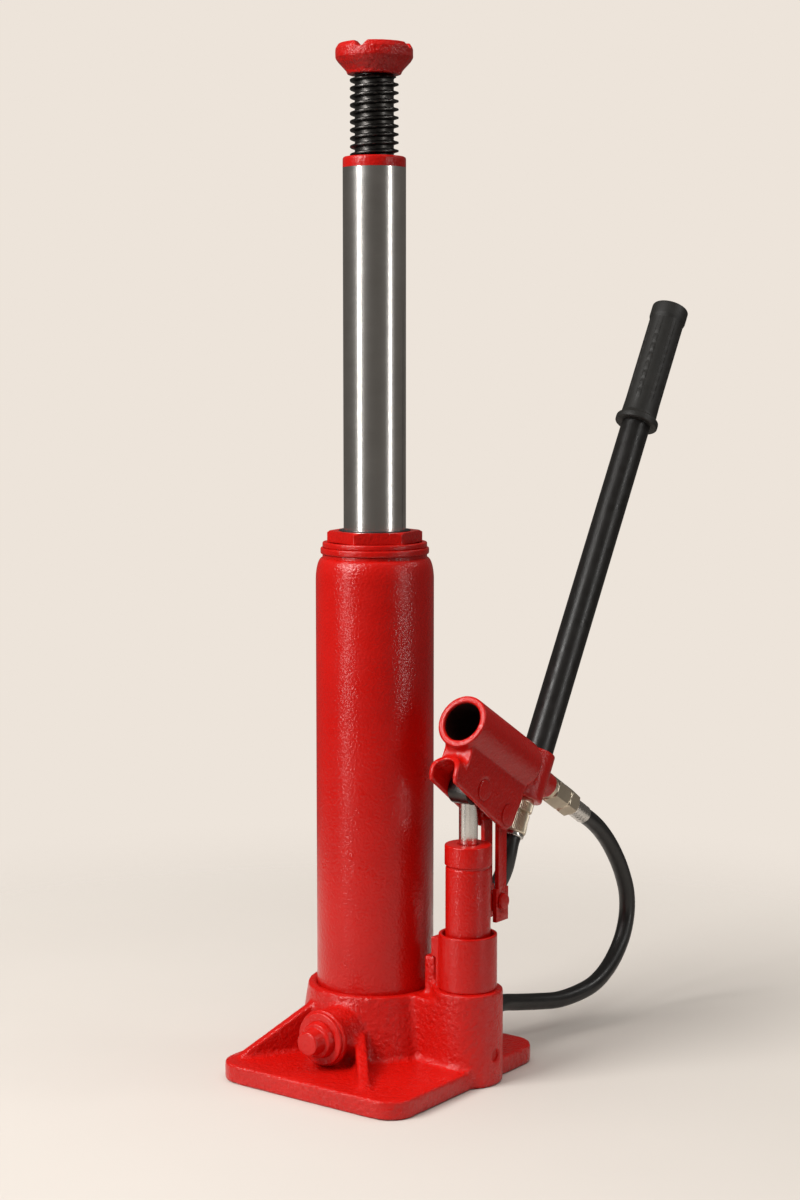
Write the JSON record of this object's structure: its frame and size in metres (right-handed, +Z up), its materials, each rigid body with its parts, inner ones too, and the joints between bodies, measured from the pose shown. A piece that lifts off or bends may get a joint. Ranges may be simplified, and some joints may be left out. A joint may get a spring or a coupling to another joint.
{
  "type": "car jack",
  "caption": "Long-ram hydraulic bottle jack with side hand pump, tee-mounted pump handle, screw-out saddle and looped hydraulic hoses.",
  "frame": {"origin": "centre of the ram axis on the underside of the base plate", "axes": "+Z up along the ram, +X from the ram towards the hand pump, -Y towards the release valve"},
  "size_m": [0.19, 0.4441, 0.8159],
  "materials": {
    "red_casting": "glossy red enamel over a grainy casting",
    "red_tube": "glossy red enamel, smooth",
    "ram_steel": "ground and polished steel",
    "bright_steel": "bright machined steel",
    "dark_steel": "oiled dark steel",
    "black_paint": "satin black paint on steel tube",
    "grip_rubber": "matte moulded rubber",
    "hose_rubber": "smooth hose rubber",
    "seal_rubber": "nitrile rubber",
    "nickel": "warm nickel plate",
    "copper": "soft copper"
  },
  "bodies": {
    "base": {"base_casting": "red_casting", "reservoir_tube": "red_tube", "pressure_cylinder": "bright_steel", "tank_gasket": "seal_rubber", "cylinder_washer": "copper", "gland_nut": "red_tube", "tank_top_ring": "red_tube", "gland_ring": "red_tube", "ram_wiper": "seal_rubber", "oil_filler_plug": "seal_rubber", "suction_strainer": "bright_steel", "passage_plugs": "red_casting", "check_balls": "bright_steel", "check_springs": "bright_steel", "relief_spring": "bright_steel", "relief_screw": "dark_steel", "pump_cylinder": "red_tube", "pump_sleeve": "red_tube", "pump_cap": "red_tube", "plunger_packing": "seal_rubber", "link_lower_pin": "red_tube", "lower_pin_clip": "bright_steel", "release_gland": "red_casting", "release_seal": "seal_rubber", "release_ball": "bright_steel", "base_hose_adapters": "nickel", "base_hose_ferrules": "bright_steel", "loop_hose": "hose_rubber", "lower_hose": "hose_rubber"},
    "ram": {"ram": "ram_steel", "ram_collar": "red_tube", "ram_piston": "bright_steel", "piston_seal": "seal_rubber", "piston_bolt": "dark_steel"},
    "saddle": {"saddle": "red_casting"},
    "screw": {"extension_screw": "dark_steel"},
    "rocker": {"rocker_socket": "red_casting", "plunger_pin": "red_casting", "fulcrum_pin": "red_casting", "pin_clips": "bright_steel", "handle_tube": "black_paint", "hand_grip": "grip_rubber", "knurled_coupling": "nickel", "coupling_ring": "bright_steel", "hose_swivel_nut": "nickel", "hose_ferrule": "bright_steel"},
    "link": {"link_straps": "red_casting"},
    "plunger": {"pump_plunger": "ram_steel"},
    "release_valve": {"release_valve_screw": "red_casting"}
  },
  "joints": [
    {"name": "ram_slide", "type": "slide", "parent": "base", "child": "ram", "axis": [0, 0, 1], "range_m": [-0.28, 0.02]},
    {"name": "screw_rise", "type": "slide", "parent": "ram", "child": "saddle", "axis": [0, 0, 1], "range_m": [-0.0601, 0.0121]},
    {"name": "screw_turn", "type": "hinge", "parent": "saddle", "child": "screw", "pos_m": [0, 0, 0.76], "axis": [0, 0, 1], "range_deg": [-3375, 675]},
    {"name": "rocker_pump", "type": "hinge", "parent": "base", "child": "rocker", "pos_m": [0.092, 0.036, 0.2095], "axis": [1, 0, 0], "range_deg": [-4, 38], "deforming": ["loop_hose", "lower_hose"]},
    {"name": "plunger_slide", "type": "slide", "parent": "base", "child": "plunger", "axis": [0, 0, 1], "range_m": [-0.0255, 0.003]},
    {"name": "link_swing", "type": "hinge", "parent": "rocker", "child": "link", "pos_m": [0.092, 0.036, 0.2095], "axis": [1, 0, 0], "range_deg": [-39, 5]},
    {"name": "release_turn", "type": "hinge", "parent": "base", "child": "release_valve", "pos_m": [0.009, -0.085, 0.038], "axis": [0, -1, 0], "range_deg": [0, 720]}
  ],
  "couplings": [
    {"joint": "screw_rise", "follows": "screw_turn", "m_per_rad": 0.0010186},
    {"joint": "plunger_slide", "follows": "rocker_pump", "m_per_rad": -0.0375},
    {"joint": "link_swing", "follows": "rocker_pump", "ratio": -1}
  ]
}
